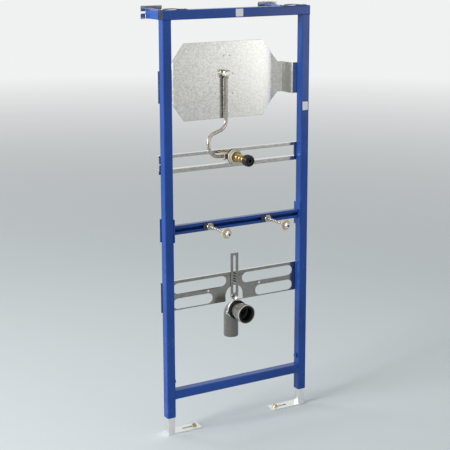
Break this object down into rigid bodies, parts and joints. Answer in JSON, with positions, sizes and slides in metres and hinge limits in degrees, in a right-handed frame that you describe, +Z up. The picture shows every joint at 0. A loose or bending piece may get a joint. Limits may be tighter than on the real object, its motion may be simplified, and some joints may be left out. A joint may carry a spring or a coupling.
{
  "type": "urinal installation frame",
  "caption": "Open frame of blue square tube with telescopic feet, wall arms and sheet brackets that carry a wall-hung urinal's flush pipe, water inlet, bolts and waste elbow.",
  "frame": {"origin": "middle of the rear face of the left wall bracket, where the frame meets the wall", "axes": "+X to the right as seen from the front, +Y back to the wall, +Z up"},
  "size_m": [0.559, 0.2449, 1.389],
  "materials": {
    "blue_paint": "glossy powder coat",
    "galvanised": "bright zinc with a fine spangle",
    "dark_steel": "dark satin",
    "nickel": "warm satin nickel",
    "chrome": "bright plated",
    "brass": "machined",
    "black_plastic": "satin",
    "cream_plastic": "satin",
    "grey_plastic": "satin",
    "black_rubber": "matt"
  },
  "bodies": {
    "frame": {"top_rail": "blue_paint", "upright_left": "blue_paint", "upright_right": "blue_paint", "bottom_rail": "blue_paint", "wall_arm_left": "blue_paint", "wall_arm_right": "blue_paint", "fixing_rail": "blue_paint", "fixing_rail_end_left": "blue_paint", "fixing_rail_end_right": "blue_paint", "foot_clamp_left": "blue_paint", "foot_clamp_right": "blue_paint", "wall_bracket_left": "galvanised", "wall_bracket_right": "galvanised", "valve_plate": "galvanised", "inlet_rail_upper": "galvanised", "inlet_rail_lower": "galvanised", "inlet_rail_end_left": "galvanised", "inlet_rail_end_right": "galvanised", "slide_plate_left": "galvanised", "slide_plate_right": "galvanised", "bolt_washer_left": "galvanised", "bolt_washer_right": "galvanised", "drain_plate": "galvanised", "hanger_strap": "galvanised", "clamp_ring": "galvanised", "clamp_nut": "galvanised", "clamp_bolt": "galvanised", "arm_clip_left": "dark_steel", "arm_clip_right": "dark_steel", "union_nut": "nickel", "pipe_ferrule": "nickel", "flush_pipe": "nickel", "inlet_nut": "nickel", "bolt_nut_left": "nickel", "bolt_nut_right": "nickel", "bolt_rod_left": "nickel", "bolt_rod_right": "nickel", "cap_nut_left": "chrome", "cap_nut_right": "chrome", "inlet_body": "brass", "inlet_plug": "black_plastic", "inlet_guide_disc": "cream_plastic", "bolt_collar_left": "cream_plastic", "bolt_collar_right": "cream_plastic", "drain_elbow": "grey_plastic", "inlet_seal_ring": "black_rubber", "clamp_rubber": "black_rubber", "socket_seal": "black_rubber"},
    "foot_left_body": {"foot_left": "galvanised", "foot_sole_left": "galvanised", "floor_bolt_left": "galvanised"},
    "foot_right_body": {"foot_right": "galvanised", "foot_sole_right": "galvanised", "floor_bolt_right": "galvanised"}
  },
  "joints": [
    {"name": "foot_left_slide", "type": "slide", "parent": "frame", "child": "foot_left_body", "axis": [0, 0, -1], "range_m": [-0.045, 0.14]},
    {"name": "foot_right_slide", "type": "slide", "parent": "frame", "child": "foot_right_body", "axis": [0, 0, -1], "range_m": [-0.045, 0.14]}
  ]
}
